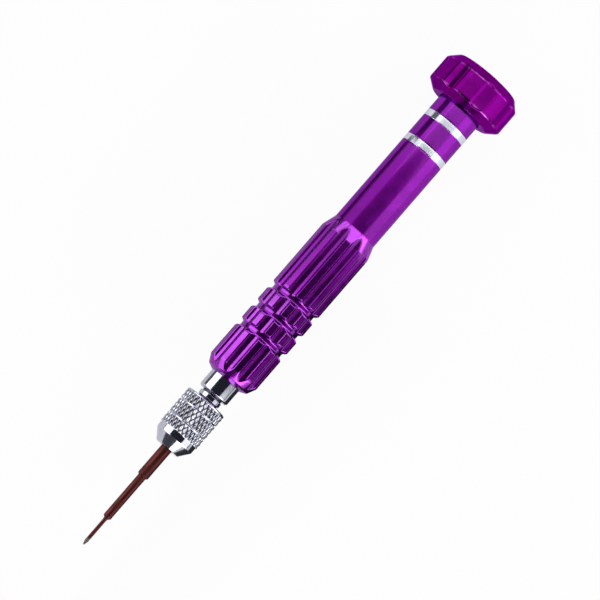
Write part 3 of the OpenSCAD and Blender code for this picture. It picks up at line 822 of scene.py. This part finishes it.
def make_camera():
    """A long lens above the tool, leaning a little towards its tip, with the cap at the upper right."""
    lean = math.radians(5.5)
    roll = math.radians(40.92)
    distance = 1.1
    target = Vector((0.00304, -0.00075, AXIS_Z))
    data = bpy.data.cameras.new("camera")
    data.sensor_width = 36
    data.lens = 326.37
    data.clip_start = 0.01
    camera = bpy.data.objects.new("camera", data)
    bpy.context.scene.collection.objects.link(camera)
    back = Vector((-math.sin(lean), 0, math.cos(lean)))
    along = Vector((math.cos(lean), 0, math.sin(lean)))
    aside = Vector((0, -1, 0))
    right = along * math.sin(roll) + aside * math.cos(roll)
    up = along * math.cos(roll) - aside * math.sin(roll)
    turn = Matrix((right, up, back)).transposed().to_4x4()
    camera.matrix_world = Matrix.Translation(target + back * distance) @ turn
    bpy.context.scene.camera = camera


ALUMINIUM = (0.84, 0.88, 0.97)
ALUMINIUM_DULL = (0.76, 0.8, 0.9)
PURPLE = (0.3, 0.008, 0.44)
PURPLE_DEEP = (0.26, 0.006, 0.39)
PURPLE_RIM = (0.6, 0.12, 0.75)
NICKEL = (0.62, 0.63, 0.72)
NICKEL_DULL = (0.53, 0.54, 0.63)

anodised = metal("purple anodised aluminium", PURPLE, PURPLE_DEEP, rub_and_glint_color=(0.42, 0.12, 0.56),
                 roughness=0.17, rub_and_glint_reach=0.2, line_spacing=0.09 * MM, line_depth=3 * MICRON,
                 rim_color=PURPLE_RIM, coat=0.2, polish=0.55,
                 polished_to=span("grip_handle")[0] + GRIP_LEN)
# The cap's lighter purple edge colour is a painted glint along its edges
satin = metal("satin purple anodised aluminium", (0.21, 0.002, 0.23), (0.18, 0.001, 0.2),
              rub_and_glint_color=(0.5, 0.14, 0.56), roughness=0.18, rub_and_glint_reach=0.25, line_spacing=0.09 * MM,
              line_depth=4 * MICRON, rim_color=PURPLE_RIM)
# The nickel's hollows carry painted shade, nearly black
plated = metal("polished nickel plating", NICKEL, NICKEL_DULL, rub_and_glint_color=(0.74, 0.73, 0.71), roughness=0.09,
               rub_and_glint_reach=0.3, line_spacing=0.07 * MM, line_depth=2 * MICRON, hollow_shade=(0.025, 0.025, 0.032))
bright = metal("bright turned aluminium", ALUMINIUM, ALUMINIUM_DULL, rub_and_glint_color=(0.92, 0.93, 0.96),
               roughness=0.13, rub_and_glint_reach=0.4, line_spacing=0.05 * MM, line_depth=5 * MICRON)
bronze = metal("dark bronze steel with a bare tip", (0.115, 0.029, 0.027), (0.085, 0.022, 0.02),
               rub_and_glint_color=(0.16, 0.15, 0.145), roughness=0.38, rub_and_glint_reach=0.15, line_spacing=0.12 * MM,
               line_depth=5 * MICRON, bare_to=span("driver_bit")[0] + BARE_TIP_LEN)
dark_steel = metal("dark tool steel", (0.16, 0.155, 0.15), (0.11, 0.108, 0.105), rub_and_glint_color=(0.4, 0.39, 0.38),
                   roughness=0.34, rub_and_glint_reach=0.3, line_spacing=0.12 * MM, line_depth=5 * MICRON)
brass = metal("turned brass", (0.66, 0.46, 0.17), (0.55, 0.37, 0.13), rub_and_glint_color=(0.8, 0.62, 0.3),
              roughness=0.24, rub_and_glint_reach=0.3, line_spacing=0.1 * MM, line_depth=5 * MICRON)
black_plastic = moulded("moulded black plastic", (0.018, 0.018, 0.02), (0.028, 0.028, 0.03),
                        roughness=0.45, grain=6 * MICRON)
white_plastic = moulded("natural plastic", (0.78, 0.76, 0.7), (0.7, 0.68, 0.62),
                        roughness=0.4, grain=4 * MICRON)
rubber = moulded("soft black rubber", (0.03, 0.03, 0.032), (0.045, 0.045, 0.047),
                 roughness=0.7, grain=14 * MICRON)

make_bit(bronze)
make_nut(plated)
make_chuck_body(plated)
make_grip(anodised)
make_tube(anodised)
make_trim_ring("trim_ring_front", "front_trim_ring", bright)
make_trim_ring("trim_ring_rear", "rear_trim_ring", bright)
make_cap(satin)

INNER_FINISHES = {
    "collet": brass,
    "bit_magazine": black_plastic,
    "spare_bit_slotted": dark_steel,
    "spare_bit_cross": dark_steel,
    "spare_bit_six_lobe": dark_steel,
    "spare_bit_five_lobe": dark_steel,
    "rattle_pad": rubber,
    "end_plug": brass,
    "cap_spindle": dark_steel,
    "thrust_washer": white_plastic,
    "snap_ring": dark_steel,
    "thrust_ball": plated,
}
for node, finish in INNER_FINISHES.items():
    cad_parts[node].material_slots[0].material = finish

make_floor()
make_world()
SOFTBOXES = [
    # name, place, station of the aim, width, height, brightness
    ("left softbox", (-0.165, 0.22, 0.13), -0.165, 0.38, 0.22, 2.2),
    ("left middle softbox", (0.0475, 0.27, 0.16), 0.0475, 0.065, 0.28, 0.45),
    ("left cap softbox", (0.14, 0.27, 0.16), 0.14, 0.12, 0.28, 1.15),
    ("left rear softbox", (0.33, 0.24, 0.14), 0.02, 0.24, 0.24, 2.3),
    ("right front softbox", (-0.1435, -0.225, 0.125), -0.1435, 0.283, 0.2, 1.4),
    ("right middle softbox", (0.13, -0.22, 0.11), 0.13, 0.17, 0.22, 1.2),
    ("right rear softbox", (0.29, -0.28, 0.14), 0.02, 0.34, 0.26, 2.3),
    ("front softbox", (-0.235, -0.19, 0.11), -0.02, 0.32, 0.2, 3.0),
    ("rear softbox", (0.38, 0.0, 0.36), 0.02, 0.5, 0.24, 2.3),
    ("overhead softbox", (0.165, 0.0, 0.33), 0.165, 0.16, 0.53, 1.15),
]
BOARDS = [
    # name, front, rear, foot, top, low, high, colour
    ("left board", -0.021, 0.047, 0.032, 0.032, 0.001, 0.0115, (0.07, 0.07, 0.085)),
    ("left board by the cap", 0.047, 0.14, 0.032, 0.032, 0.0145, 0.031, (0.04, 0.04, 0.05)),
    # The right board is a dark sheet where the floor beside the tool lies only in shade: painted shade, seen
    # in the metal
    ("right board", -0.1, 0.018, -0.0065, -0.018, 0.001, 0.0075, (0.02, 0.02, 0.026)),
]
for softbox in SOFTBOXES:
    make_softbox(*softbox)
for board in BOARDS:
    make_board(*board)
make_camera()
bpy.context.scene.view_settings.view_transform = "Standard"
